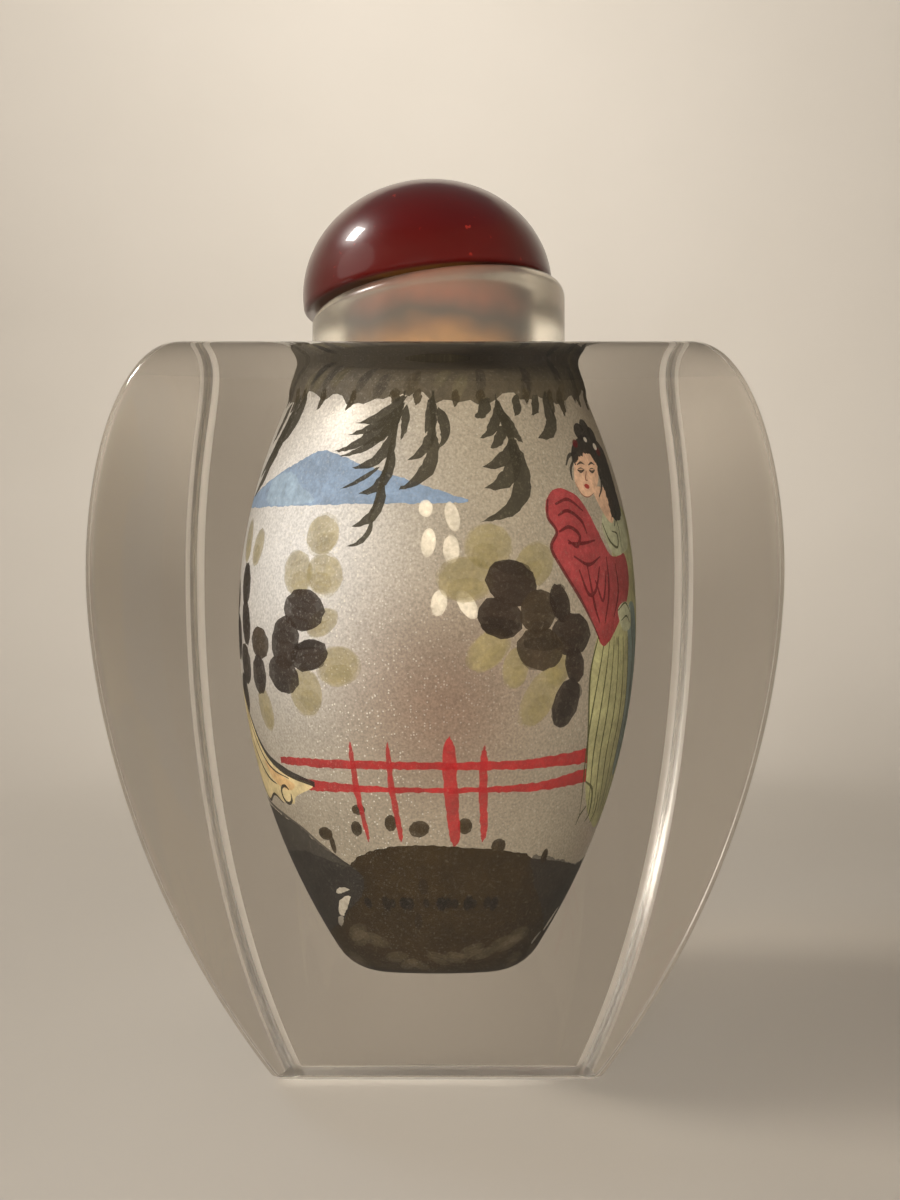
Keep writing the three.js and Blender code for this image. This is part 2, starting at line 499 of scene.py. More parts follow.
def cavity_profile(grow=0.0):
    """The hollow's outline from the bore down to the floor's middle, grown outwards."""
    head = CAVITY_CEILING - CEILING_CORNER
    lip = 0.6
    points = quarter(BORE_RADIUS + lip, CAVITY_CEILING + lip, lip - grow, 180, 270, 4)
    points += quarter(cavity_radius(head) - CEILING_CORNER, head,
                      CEILING_CORNER + grow, 90, 0, 6)
    for z in np.linspace(head, FOOT_LEVEL, 60)[1:-1]:
        points.append((cavity_radius(z) + grow, z))
    middle = cavity_radius(FOOT_LEVEL) - FLOOR_CORNER * math.cos(FOOT_LEAN)
    points += quarter(middle, CAVITY_FLOOR + FLOOR_CORNER, FLOOR_CORNER + grow,
                      -math.degrees(FOOT_LEAN), -90, 6)
    return points


def bore_rings():
    """Rings of the bore, from its mouth down."""
    return [slanted(ring_circle(BORE_RADIUS, z)) for z in BORE_LEVELS]


def bottle_slots(body, shelf, neck, bore, cavity, count):
    """Which finish each face of the bottle has, from how many rings each part has."""
    slots = []
    side = RING_SIDE + RING_CORNER
    for level in range(body - 1):
        for place in range(count):
            corner, step = divmod(place, side)
            back_edge = corner in (1, 2) and RING_SIDE <= step < side - 1
            slots.append(EDGE if back_edge or level < BASE_RINGS else CLEAR)
    for rings, finish in ((shelf, CLEAR), (neck, GROUND), (bore, STAIN), (cavity, CLEAR)):
        slots += [finish] * rings * count
    # Last come the fans that close the base and the cavity's floor.
    return slots + [EDGE] * count + [CLEAR] * count


def make_bottle():
    """The glass: body, neck, bore and cavity as one closed surface."""
    body = body_rings()
    neck = neck_rings()
    shelf = [between(body[-1], neck[0], share) for share in (0.05, 0.35, 0.65, 0.95)]
    bore = bore_rings()
    cavity = [ring_circle(r, z) for r, z in cavity_profile()]
    parts = (body, shelf, neck, bore, cavity)
    verts, faces = loft([ring for part in parts for ring in part])
    slots = bottle_slots(*[len(part) for part in parts], len(body[0]))
    # The clear glass's grey tint is painted shade: it darkens what is seen through the glass as the shade
    # behind the bottle would.
    clear = glass_material("clear_glass", 0.0, (0.44, 0.41, 0.37), (0.92, 0.9, 0.87))
    ground = glass_material("ground_glass", 0.25, (0.98, 0.91, 0.77), (0.93, 0.91, 0.88), 0.93)
    honed = glass_material("honed_edge", 0.38, (0.97, 0.95, 0.92), (0.92, 0.9, 0.87), 0.96)
    finishes = [clear, ground, honed, bore_material()]
    return add_mesh("glass_bottle", verts, faces, finishes, slots, 24.0)


# ---- The brush: outlines on the unrolled wall, in millimetres ----
# x runs round the wall at its widest radius, 0 at the front and growing to
# the right; z is the height.

class Painting:
    """Brush strokes in the order they were laid."""

    def __init__(self):
        self.strokes = []
        self.chance = random.Random(BRUSH_SEED)

    def lay(self, outline, colour, cover=1.0, fray=0.0):
        """One flat stroke: its outline, its colour and how far it covers."""
        if fray:
            outline = self.frayed(outline, fray)
        self.strokes.append((np.array(outline), np.array(colour), cover))

    def frayed(self, outline, amount):
        """The outline cut into short pieces and shaken, as a dry brush leaves it."""
        corners = [np.array(p) for p in outline]
        out = []
        for start, end in zip(corners, corners[1:] + corners[:1]):
            pieces = max(1, round(float(np.hypot(*(end - start))) / FRAY_STEP))
            for k in range(pieces):
                shake = (self.chance.uniform(-amount, amount), self.chance.uniform(-amount, amount))
                out.append(start + (end - start) * k / pieces + np.array(shake))
        return out

    def patch(self, points, colour, cover=1.0, fray=0.0):
        """A closed shape with a smooth outline."""
        self.lay(smooth_loop(points, 5), colour, cover, fray)

    def press(self, x, z, rx, rz, turn, colour, cover, shade=0.5):
        """A leaf pressed with a loaded brush, in streaks of uneven shade and reach."""
        self.daub(x, z, rx, rz, turn, colour, cover, 0.025)
        streaks = 4
        for k in range(streaks):
            across = 0.86 * (2 * (k + 0.5) / streaks - 1)
            reach = math.sqrt(1 - across * across) * self.chance.uniform(0.6, 0.98)
            slip = self.chance.uniform(-0.12, 0.12) * rx
            place = turned(x, z, slip, across * rz, turn)
            tone = 1 + self.chance.uniform(-shade, shade)
            streak = tuple(c * tone for c in colour)
            self.daub(*place, rx * reach, rz * 0.3, turn, streak, cover * 0.7, 0.07, 12)

    def daub(self, x, z, rx, rz, turn, colour, cover=1.0, rough=0.03, steps=22):
        """A pressed brush mark, roughly oval, with a slightly ragged edge."""
        phases = [self.chance.uniform(0, 2 * math.pi) for _ in range(3)]
        outline = []
        for k in range(steps):
            a = 2 * math.pi * k / steps
            swell = 1 + 0.06 * math.sin(2 * a + phases[0])
            swell += rough * (math.sin(7 * a + phases[1]) + math.sin(12 * a + phases[2]))
            outline.append(turned(x, z, rx * swell * math.cos(a), rz * swell * math.sin(a), turn))
        self.lay(outline, colour, cover)

    def watery(self, x, z, rx, rz, turn, colour, cover, deep=None):
        """A wash with a soft edge, and a darker end where the colour pooled."""
        for size, share in ((1.0, 0.6), (0.95, 0.4), (0.88, 0.3)):
            self.daub(x, z, rx * size, rz * size, turn, colour, cover * share, 0.015)
        if deep is not None:
            lean = self.chance.uniform(-0.3, 0.3)
            self.daub(x + rx * lean, z - rz * 0.35, rx * 0.6, rz * 0.45, turn, deep, 0.28, 0.02)

    def leaf(self, x0, z0, x1, z1, width, bend, colour, cover=0.96):
        """A pointed leaf from root to tip; a positive bend bows it to its left."""
        dx, dz = x1 - x0, z1 - z0
        left, right = [], []
        steps = 12
        for k in range(steps + 1):
            t = k / steps
            bow = bend * 4 * t * (1 - t)
            half = 0.5 * width * math.sin(math.pi * min(1.0, 0.08 + 0.92 * t) ** 0.85) ** 0.9
            half *= 1 + self.chance.uniform(-0.07, 0.07)
            cx, cz = x0 + dx * t - dz * bow, z0 + dz * t + dx * bow
            # The width is taken across the bowed middle line.
            tx = dx - dz * bend * 4 * (1 - 2 * t)
            tz = dz + dx * bend * 4 * (1 - 2 * t)
            size = math.hypot(tx, tz)
            left.append((cx - tz / size * half, cz + tx / size * half))
            right.append((cx + tz / size * half, cz - tx / size * half))
        self.lay(left + right[-2:0:-1], colour, cover, min(0.07, 0.07 * width))

    def line(self, points, widths, colour, cover=0.95, fray=0.0):
        """A brush line through points, with a width at each or one for all."""
        if not isinstance(widths, (list, tuple)):
            widths = [widths * 0.5] + [widths] * (len(points) - 2) + [widths * 0.4]
        steps = 6
        path = np.array(smooth_path(points, steps))
        wide = np.interp(np.arange(len(path)) / steps, range(len(points)), widths)
        ahead = np.gradient(path, axis=0)
        normal = np.stack([-ahead[:, 1], ahead[:, 0]], axis=1)
        normal /= np.linalg.norm(normal, axis=1)[:, None] + 1e-9
        shake = np.array([1 + self.chance.uniform(-0.08, 0.08) for _ in path])
        half = (wide * shake / 2)[:, None]
        self.lay([*(path + normal * half), *(path - normal * half)[::-1]], colour, cover, fray)


def turned(x, z, u, v, turn):
    """The point (u, v), turned by an angle in degrees and moved to (x, z)."""
    cos_turn, sin_turn = math.cos(math.radians(turn)), math.sin(math.radians(turn))
    return x + u * cos_turn - v * sin_turn, z + u * sin_turn + v * cos_turn


def smooth_path(points, steps):
    """A Catmull-Rom curve through the points."""
    p = np.array(points, float)
    p = np.vstack([2 * p[0] - p[1], p, 2 * p[-1] - p[-2]])
    out = []
    for i in range(1, len(p) - 2):
        for k in range(steps):
            out.append(rom(p[i - 1], p[i], p[i + 1], p[i + 2], k / steps))
    out.append(p[-2])
    return out


def smooth_loop(points, steps):
    """A closed Catmull-Rom curve through the points."""
    p = np.array(points, float)
    n = len(p)
    return [rom(p[i - 1], p[i], p[(i + 1) % n], p[(i + 2) % n], k / steps)
            for i in range(n) for k in range(steps)]


def rom(a, b, c, d, t):
    """A point between b and c of a curve through a, b, c and d."""
    return 0.5 * (2 * b + (c - a) * t + (2 * a - 5 * b + 4 * c - d) * t ** 2
                  + (3 * b - a - 3 * c + d) * t ** 3)


# ---- The picture ----

INK = srgb(40, 36, 32)
BORE_RING_LIGHTENED = srgb(74, 66, 48)
FOLIAGE = srgb(66, 58, 42)
FOLIAGE_PALE = srgb(104, 98, 76)
WILLOW = srgb(56, 52, 40)
HILL = srgb(120, 147, 180)
HILL_PALE = srgb(164, 188, 208)
PETAL = srgb(236, 228, 210)
OLIVE = srgb(146, 135, 92)
OLIVE_DEEP = srgb(112, 98, 50)
BARK = srgb(44, 34, 27)
BARK_PALE = srgb(60, 49, 35)
RED = srgb(166, 27, 33)
MOUND = srgb(50, 37, 14)
MOUND_DOT = srgb(13, 8, 4)
SLATE = srgb(48, 45, 42)
SMEAR = srgb(150, 138, 112)
ROBE_GREEN = srgb(188, 186, 136)
ROBE_PALE = srgb(196, 198, 164)
ROBE_LINE = srgb(74, 74, 36)
SASH = srgb(134, 152, 150)
ROSE = srgb(164, 62, 66)
ROSE_DARK = srgb(96, 22, 26)
SKIN = srgb(238, 196, 164)
LIP = srgb(176, 52, 48)
NOSE_LINE = srgb(150, 92, 70)
CREAM = srgb(226, 208, 160)
APRICOT = srgb(222, 182, 128)

# The middle of the right-hand lady's face, and how it is drawn wide and leaning.
HEAD_X = 13.3
HEAD_Z = 42.6
HEAD_WIDEN = 1.6
HEAD_LEAN = 0.55


def crowns(art):
    """The dark crowns of the trees, all round under the shoulder."""
    steps = 150
    lower = []
    for k in range(steps):
        x = -HALF_WRAP + WRAP * k / steps
        turn = 2 * math.pi * k / steps
        wave = 0.22 * math.sin(9 * turn) + 0.16 * math.sin(23 * turn + 1)
        lower.append((x, 46.95 + wave + art.chance.uniform(-0.16, 0.16)))
    lower.append((HALF_WRAP, lower[0][1]))
    art.lay([*lower, (HALF_WRAP, PAINT_TOP + 1), (-HALF_WRAP, PAINT_TOP + 1)], FOLIAGE, 0.9)
    # Thin daubs break up the band, darker and lighter by turns.
    for k in range(54):
        x = art.chance.uniform(-HALF_WRAP + 2, HALF_WRAP - 2)
        z = art.chance.uniform(47.2, 48.6)
        tone = (FOLIAGE, INK, FOLIAGE_PALE)[k % 3]
        art.press(x, z, 1.1, 0.5, art.chance.uniform(40, 80), tone, 0.3)
    # Round the bore the band is painted a little lighter, painted light that offsets the shade under the
    # neck.
    mouth = PAINT_TOP - 4.5
    art.lay([(-HALF_WRAP, mouth), (HALF_WRAP, mouth), (HALF_WRAP, PAINT_TOP + 1),
             (-HALF_WRAP, PAINT_TOP + 1)], BORE_RING_LIGHTENED, 1.0)
    # Teeth of single leaves along the lower edge.
    teeth = 30
    for k in range(teeth):
        x = -HALF_WRAP + 1 + (WRAP - 2) * k / (teeth - 1) + art.chance.uniform(-0.9, 0.9)
        drop = art.chance.uniform(0.3, 1.2)
        lean = art.chance.uniform(-0.2, 0.9)
        art.leaf(x, 47.5, x - lean, 47.0 - drop, art.chance.uniform(0.6, 1.1), 0.08, FOLIAGE)


def front_willow(art):
    """The hanging twigs at the front: root, tip, width and bow of each leaf."""
    middle = [(-0.5, 47.0, -0.9, 44.9, 0.7, 0.05), (0.0, 46.3, 0.1, 43.9, 0.85, 0.28),
              (-0.3, 46.0, -2.2, 43.2, 0.75, 0.20), (-0.2, 45.0, -2.7, 41.5, 1.0, 0.22),
              (-0.4, 47.2, -0.3, 44.6, 0.6, 0.05)]
    left = [(-2.6, 47.2, -6.9, 45.5, 0.7, 0.08), (-2.8, 46.8, -8.4, 43.8, 0.75, 0.10),
            (-2.9, 46.4, -7.4, 44.8, 0.6, 0.06), (-3.0, 46.0, -7.8, 43.5, 0.55, 0.10),
            (-2.7, 46.6, -2.8, 44.5, 0.7, 0.10), (-3.0, 46.6, -5.4, 44.2, 0.8, 0.12),
            (-3.3, 45.6, -6.4, 42.8, 0.85, 0.22), (-3.3, 43.8, -5.6, 41.2, 0.8, 0.22),
            (-4.2, 42.9, -7.2, 41.5, 0.3, 0.05), (-3.8, 41.8, -5.9, 39.2, 0.75, 0.22),
            (-4.4, 39.7, -6.1, 38.0, 0.4, 0.22), (-3.4, 45.2, -3.9, 42.8, 0.5, 0.10)]
    right = [(5.4, 46.6, 3.5, 44.6, 0.8, 0.12), (5.5, 46.2, 7.1, 44.3, 0.85, -0.02),
             (5.5, 45.4, 4.2, 44.0, 0.8, 0.12), (6.4, 44.6, 3.4, 42.9, 0.95, 0.14),
             (6.4, 43.8, 3.5, 41.6, 1.15, 0.16), (5.7, 45.0, 3.0, 39.5, 1.35, 0.34),
             (5.2, 46.9, 6.3, 43.6, 0.9, 0.04), (4.6, 47.0, 3.2, 45.9, 0.9, 0.1),
             (10.6, 47.4, 8.6, 44.7, 1.15, 0.30), (9.6, 47.2, 8.6, 46.0, 0.8, 0.1),
             (7.4, 47.2, 6.8, 45.9, 0.8, 0.1)]
    edge = [(-15.4, 47.2, -17.6, 43.4, 1.2, 0.10), (-15.8, 46.4, -16.9, 42.6, 1.0, 0.08),
            (-16.2, 45.4, -19.0, 42.4, 0.9, 0.10), (-16.4, 44.2, -19.6, 41.2, 0.9, 0.14),
            (-14.4, 47.2, -15.6, 44.4, 1.3, 0.12), (-17.2, 46.8, -18.6, 44.4, 1.0, 0.1)]
    for x0, z0, x1, z1, width, bend in middle + left + right + edge:
        art.leaf(x0, z0, x1, z1, width, bend, WILLOW)
    for stem in ([(-0.3, 47.4), (-0.2, 45.6), (-0.4, 44.0)],
                 [(5.3, 47.2), (5.6, 45.6), (6.2, 44.0)],
                 [(-2.8, 47.4), (-3.3, 45.2), (-3.6, 43.4), (-4.1, 41.2), (-4.6, 39.6)]):
        art.line(stem, 0.3, WILLOW)


def twig(art, x, z, reach, leaves):
    """A plainer hanging twig for the sides that the front doesn't show."""
    art.line([(x, z), (x + 0.2, z - reach / 2), (x - 0.2, z - reach)], 0.35, WILLOW)
    for k in range(leaves):
        root = z - reach * (k + 0.3) / leaves
        length = art.chance.uniform(1.8, 2.9)
        side = -1 if k % 3 != 1 else 0.8
        art.leaf(x, root, x + side * length * 0.8, root - length * 0.8, 0.8, -0.16 * side, WILLOW)


def hills(art):
    """Pale blue hills far off."""
    art.patch([(-24, 40.9), (-19, 41.3), (-15, 42.3), (-12, 43.2), (-9.6, 43.9), (-8.2, 43.7),
               (-5.5, 43.0), (-2.8, 42.3), (-0.2, 41.5), (2.2, 40.8), (0.5, 40.6), (-4, 40.6),
               (-12, 40.5), (-20, 40.5)], HILL, 0.9, 0.05)
    # A paler patch on the hill's left: a painted highlight.
    art.patch([(-15, 42.2), (-12.6, 42.6), (-10.6, 41.6), (-9.2, 40.8), (-11, 40.6), (-15, 40.7)],
              HILL_PALE, 0.5, 0.08)
    art.patch([(29, 40.6), (33, 41.9), (37, 43.2), (41, 41.8), (43, 40.6), (36, 40.4)], HILL, 0.85)


def petals(art):
    """Falling white petals: place, half width, half height and turn."""
    for x, z, rx, rz, turn in ((-0.7, 40.3, 0.5, 0.5, 0), (1.1, 39.8, 0.5, 0.9, 12),
                               (-0.5, 38.2, 0.5, 0.85, -8), (1.0, 37.8, 0.55, 0.85, 6),
                               (0.2, 34.6, 0.5, 0.85, -8), (2.0, 34.5, 0.55, 0.95, 32)):
        art.watery(x, z, rx, rz, turn, PETAL, 1.0)


def sprigs(art):
    """Leafy sprigs: watery olive leaves, then dark ones over them."""
    olive = [(-8.1, 38.7, 1.4, 1.3, 20), (-10.0, 36.4, 1.3, 1.5, 15), (-7.7, 36.3, 1.5, 1.3, -10),
             (-7.8, 33.4, 1.4, 0.8, 20), (-6.7, 30.7, 1.7, 1.3, 10), (-9.5, 29.1, 1.5, 1.6, -20),
             (-14.3, 28.0, 1.0, 1.5, 25), (-15.2, 38.0, 0.9, 1.2, -20), (-17.6, 38.4, 1.0, 1.4, 10),
             (3.5, 38.0, 1.6, 1.5, 0), (1.9, 36.0, 1.9, 1.4, 5), (6.7, 36.9, 1.6, 1.3, 30),
             (3.4, 31.7, 1.7, 1.1, 42), (5.3, 30.6, 0.9, 1.4, -8), (7.3, 28.8, 1.2, 2.3, -32),
             (8.5, 31.0, 1.2, 1.6, 0)]
    dark = [(-9.4, 34.2, 1.8, 1.3, -15), (-11.2, 32.2, 1.5, 1.6, 0), (-9.0, 31.4, 1.6, 1.0, 5),
            (-11.6, 30.2, 1.6, 1.2, -10), (-14.3, 32.2, 1.3, 1.0, 0), (-14.7, 30.2, 1.1, 1.2, 10),
            (-17.0, 35.8, 1.0, 1.3, 0), (-16.8, 33.5, 1.0, 1.4, 8), (-17.3, 30.9, 1.2, 1.3, 0),
            (-18.6, 29.0, 1.2, 1.3, 0), (-19.4, 32.6, 1.4, 1.4, 0), (-20.4, 35.0, 1.5, 1.2, 0),
            (5.0, 35.8, 1.75, 1.4, -5), (4.2, 33.7, 1.65, 1.2, -12), (6.9, 34.1, 1.4, 1.3, 0),
            (8.6, 34.6, 0.8, 1.2, 15), (9.6, 32.7, 1.65, 1.4, 0), (7.1, 31.8, 1.7, 1.4, 0),
            (10.0, 30.8, 0.9, 1.1, 20), (9.5, 28.4, 1.1, 1.7, -28)]
    # One sprig more at the back.
    back_x, back_z = 36.0, 34
    back_olive = [(back_x + u, back_z + v, 1.5, 1.3, 10 * u)
                  for u, v in ((-3, 2), (2, 3), (4, -2), (-1, -3))]
    back_dark = [(back_x + u, back_z + v, 1.5, 1.3, -8 * u)
                 for u, v in ((-1, 1), (1.6, 0.4), (0.4, -1.6), (3, 1))]
    for x, z, rx, rz, turn in olive + back_olive:
        art.watery(x, z, rx, rz, turn, OLIVE, 0.5, OLIVE_DEEP)
        art.press(x, z, rx * 0.95, rz * 0.95, turn, OLIVE, 0.32, 0.3)
    for x, z, rx, rz, turn in dark + back_dark:
        art.press(x, z, rx, rz, turn, BARK if (x + z) % 3 < 2 else BARK_PALE, 0.93)


def fence(art):
    """A red garden fence: two rails that thicken to the right, and posts with pointed tops."""
    art.line([(-13.5, 24.65), (-8, 24.45), (0, 24.35), (6, 24.4), (10, 24.7), (14.5, 25.2), (17, 25.5)],
             [0.45, 0.6, 0.5, 0.6, 0.85, 1.1, 1.1], RED, 0.95, 0.05)
    art.line([(-11.6, 23.1), (-8, 22.9), (-3, 22.75), (3, 22.75), (8, 22.95), (12, 23.5), (17, 24.2)],
             [0.9, 0.6, 0.34, 0.34, 0.55, 0.9, 1.0], RED, 0.95, 0.05)
    posts = [(-6.2, 25.9, -5.9, 19.2, 0.5), (-3.4, 25.9, -3.0, 19.2, 0.5),
             (0.9, 26.3, 1.5, 18.9, 1.1), (3.4, 25.7, 3.9, 19.2, 0.68)]
    posts += [(x, 25.9, x + 0.3, 19.0, 0.7) for x in (28, 31.5, 36, 40)]
    for x0, z0, x1, z1, width in posts:
        middle = (x0 + x1) / 2
        art.line([(x0, z0), (x0, z0 - 1.0), (middle - 0.1, (z0 + z1) / 2), (x1, z1 + 0.8), (x1, z1)],
                 [0.05, 0.8 * width, width, 0.8 * width, 0.2 * width], RED, 0.92, 0.05)
    art.line([(25, 24.5), (32, 24.4), (38, 24.5), (43, 24.6)], 0.7, RED, 0.97)
    art.line([(25, 22.8), (32, 22.7), (38, 22.8), (43, 23.0)], 0.7, RED, 0.97)


def bank(art):
    """The dark bank at the foot of the picture, all round, with dots of moss."""
    def rolling(start, end):
        return [(x, 17.4 + 0.5 * math.sin(x * 0.8)) for x in np.arange(start, end, 1.3)]

    crest = [(-HALF_WRAP, 17.2), *rolling(-44, -24)]
    crest += [(-22, 18.2), (-14, 18.4), (-8.6, 17.4), (-7.4, 18.05), (-6.0, 18.5), (-3.3, 18.95),
              (-0.5, 19.0), (1.5, 18.85), (4, 18.75), (6.7, 18.5), (8.4, 18.3), (9.2, 17.95),
              (10.4, 17.9), (13, 17.7), (17, 17.3), *rolling(19, 44), (HALF_WRAP, 17.2)]
    low = PAINT_BOTTOM - 0.5
    art.lay([*crest, (HALF_WRAP, low), (-HALF_WRAP, low)], MOUND, 1.0, 0.05)
    art.patch([(-26, 22.4), (-20.2, 21.6), (-16.8, 21.0), (-13.6, 20.1), (-11.2, 18.8), (-8.5, 17.5),
               (-7.3, 16.5), (-8.2, 15.2), (-10.5, 14.2), (-14, 13.0), (-20, 12.4), (-26, 13)],
              SLATE, 0.93, 0.07)
    art.patch([(9.2, 18.1), (13, 17.8), (17, 17.4), (21, 18.0), (25, 17.5), (25, 12), (19, 12.2),
               (14, 14.0), (10.6, 16.0)], SLATE, 0.7, 0.1)
    art.line([(-24, 22.6), (-18, 21.5), (-13.6, 20.2), (-11.2, 18.9), (-8.6, 17.5)], 0.25, INK, 0.8)
    # Small near-white marks over the bank, and a smeared foot.
    scraps = [(-12.6, 13.7, -9.6, 15.2, 0.8, 0.8), (-11.6, 15.4, -9.4, 15.7, 0.4, 0.6),
              (-13.9, 12.9, -12.2, 13.6, 0.6, 0.4), (17.6, 12.4, 19.0, 14.2, 0.9, 0.7),
              (15.8, 11.4, 16.9, 12.4, 0.6, 0.4)]
    for x0, z0, x1, z1, width, cover in scraps:
        art.leaf(x0, z0, x1, z1, width, 0.05, PETAL, cover)
    for k in range(34):
        x = -34 + 2 * k + art.chance.uniform(-1, 1)
        z = art.chance.uniform(8.8, 11.0) + 0.02 * x * x * (abs(x) < 12)
        art.press(x, z, 1.9, 0.6, art.chance.uniform(-20, 20), SMEAR, 0.08)
    # A row of round dots, and tufts of moss along the crest.
    for k, x in enumerate((-7.6, -5.4, -4.7, -3.4, -2.8, -1.1, 0.5, 1.2, 1.9, 3.3, 3.9, 5.4, 6.2)):
        z = 14.75 + 0.1 * math.sin(3.1 * k)
        size = 0.42 + 0.1 * math.sin(2.3 * k)
        art.daub(x, z, size, size * 1.05, 0, MOUND_DOT, 0.8 if k % 3 else 0.95, 0.06)
    for x, z, rx, rz in ((-1.3, 16.0, 0.5, 0.55), (-2.1, 13.4, 0.45, 0.65)):
        art.daub(x, z, rx, rz, 0, MOUND_DOT, 0.5, 0.06)
    moss = [(-6.3, 21.4, 0.34, 0.55), (-6.8, 20.1, 0.45, 0.5), (-3.7, 20.5, 0.5, 0.5),
            (-1.4, 20.1, 0.52, 0.8), (2.3, 20.3, 0.48, 0.6), (5.4, 18.9, 0.5, 0.6),
            (-10.2, 19.7, 0.4, 0.8), (-9.7, 19.0, 0.6, 0.3), (10.6, 18.1, 0.5, 0.35)]
    for x, z, rx, rz in moss:
        art.press(x, z, rx * 1.1, rz * 1.05, 90, MOUND, 0.9)


def sleeve(art):
    """The pale trailing sleeve of the lady on the left, with inked edges."""
    art.patch([(-24, 32), (-21, 30.4), (-18.5, 27.8), (-16.1, 25.1), (-13.4, 23.8), (-10.2, 23.0),
               (-12.6, 22.2), (-13.2, 21.7), (-14.8, 21.8), (-16.5, 22.3), (-18.6, 21.9), (-20.6, 23.4),
               (-24, 24)], CREAM, 0.97)
    art.patch([(-16.5, 24.6), (-14.0, 23.6), (-12.4, 23.0), (-13.4, 22.6), (-15.4, 23.2)], APRICOT, 0.8)
    art.line([(-21, 30.6), (-18.5, 28.0), (-16.1, 25.3), (-13.4, 23.95), (-10.0, 23.05)],
             [0.15, 0.22, 0.34, 0.55, 0.35], INK)
    curl = [(-14.0 + 0.75 * math.cos(a), 22.3 + 0.6 * math.sin(a))
            for a in np.linspace(0.6, 6.4, 9)]
    for width, *fold in ((0.2, (-22, 25.4), (-20.4, 23.6), (-18.6, 21.9), (-16.4, 22.3), (-15.0, 21.7)),
                         (0.2, (-20.6, 28.0), (-18.6, 25.4), (-16.8, 23.6), (-15.2, 23.0)),
                         (0.16, (-19.6, 29.0), (-17.6, 26.0), (-15.6, 24.2), (-13.0, 23.4)),
                         (0.22, *curl)):
        art.line(fold, width, INK)


def lady(art, place, robe, robe_pale, robe_line, sash, gown, gown_line):
    """A generic robed lady with her head a little bowed. place moves her parts."""
    def shape(points, colour, cover=0.98, fray=0.03):
        art.patch([place(x, z) for x, z in points], colour, cover, fray)

    def ink(colour, *lines):
        # Each line is its width and then its points.
        for width, *points in lines:
            art.line([place(x, z) for x, z in points], width, colour, 0.92)

    def spot(x, z, rx, rz, colour, cover=0.98):
        art.daub(*place(x, z), rx, rz, 0.0, colour, cover, 0.01)

    # The long robe, its panels and its folds.
    shape([(12.4, 33.2), (11.6, 30.2), (12.2, 26.4), (13.2, 23.2), (14.6, 21.4), (16.6, 20.3),
           (18.8, 20.0), (20.8, 21.6), (22.0, 26), (22.4, 32), (21.6, 37), (19.8, 40.0),
           (17.2, 40.6), (15.0, 39.4), (14.2, 36)], robe)
    shape([(16.6, 34.0), (18.6, 34.6), (20.2, 31.6), (20.6, 27.0), (19.4, 23.6), (18.0, 24.6),
           (17.6, 29.0)], sash, 0.92)
    for top, middle, foot in ((13.0, 12.3, 13.7), (13.7, 13.3, 15.0), (14.3, 14.3, 16.2),
                              (15.0, 15.4, 17.4), (15.8, 16.6, 18.2), (16.8, 17.8, 18.8),
                              (18.2, 19.2, 19.8), (19.4, 20.6, 20.8)):
        ink(robe_line, (0.16, (top, 32.6), (middle, 28.0), (middle + 0.2, 24.6), (foot, 20.9)))
    ink(robe_line,
        (0.18, (12.4, 33.0), (11.6, 30.2), (12.2, 26.4), (13.2, 23.2)),
        (0.16, (17.4, 34.0), (18.6, 31.0), (18.8, 27.0), (18.0, 24.4)),
        (0.22, (13.2, 23.2), (14.6, 22.6), (15.4, 21.0), (15.0, 20.4)),
        (0.2, (14.4, 21.5), (13.8, 20.9), (13.6, 20.2)),
        (0.2, (16.0, 22.4), (16.6, 21.2), (16.2, 20.3)))
    # The rosy folds that she holds before her, gathered like a great flower.
    shape([(8.3, 41.0), (9.4, 41.6), (11.2, 41.1), (12.4, 39.8), (13.4, 38.3), (14.6, 37.4),
           (16.8, 37.6), (17.4, 36.2), (16.4, 34.6), (15.0, 33.5), (13.5, 32.2), (12.6, 32.1),
           (11.6, 33.5), (10.3, 35.0), (9.0, 36.5), (8.1, 37.9), (8.7, 38.9), (8.0, 39.9)], gown)
    folds = [((8.3, 40.9), (8.1, 39.8), (8.7, 38.9), (8.1, 37.9), (9.0, 36.5), (10.3, 35.0), (12.4, 32.4)),
             ((8.9, 40.6), (10.2, 40.9), (11.6, 40.2)),
             ((9.0, 39.9), (10.0, 40.2), (11.2, 39.6), (11.6, 38.8)),
             ((8.9, 38.9), (9.9, 39.2), (10.8, 38.7), (10.4, 38.0), (9.6, 38.4)),
             ((9.6, 38.2), (11.0, 38.2), (12.4, 38.4)), ((10.0, 37.4), (11.4, 36.9), (12.8, 37.4)),
             ((10.4, 36.6), (11.2, 35.2), (12.0, 35.4), (12.6, 36.8)),
             ((11.2, 37.0), (11.8, 34.6), (12.4, 33.4)), ((12.0, 36.0), (12.8, 34.8), (13.4, 36.6)),
             ((13.6, 37.4), (13.6, 35.4), (13.0, 33.4)), ((14.8, 37.0), (15.0, 35.4), (14.2, 33.8))]
    ink(gown_line, *[(0.24, *fold) for fold in folds])
    # A pale cuff, the collar and the shoulder.
    shape([(14.8, 34.2), (16.2, 34.8), (17.4, 34.2), (17.4, 33.2), (15.8, 33.0)], robe_pale)
    ink(robe_line, (0.14, (14.8, 34.2), (16.2, 34.7), (17.4, 34.1)),
        (0.12, (15.4, 33.6), (16.4, 33.9), (17.2, 33.5)))
    shape([(13.7, 39.6), (14.8, 40.6), (16.8, 40.8), (18.8, 39.8), (18.4, 38.2), (16.8, 37.7),
           (15.0, 37.5), (13.9, 38.4)], robe_pale)
    ink(robe_line, (0.16, (13.7, 39.5), (14.4, 38.4), (15.6, 38.0), (15.9, 38.8), (15.0, 39.0)),
        (0.14, (15.4, 40.6), (16.4, 39.4), (16.4, 38.0)))
    # The neck, and then the head over it.
    shape([(13.4, 41.6), (15.6, 41.6), (16.2, 40.6), (15.4, 39.5), (14.2, 40.1)], SKIN)
    ink(robe_line, (0.1, (15.6, 41.4), (16.0, 40.6), (15.3, 39.7)))
    lady_head(shape, ink, spot, gown_line)


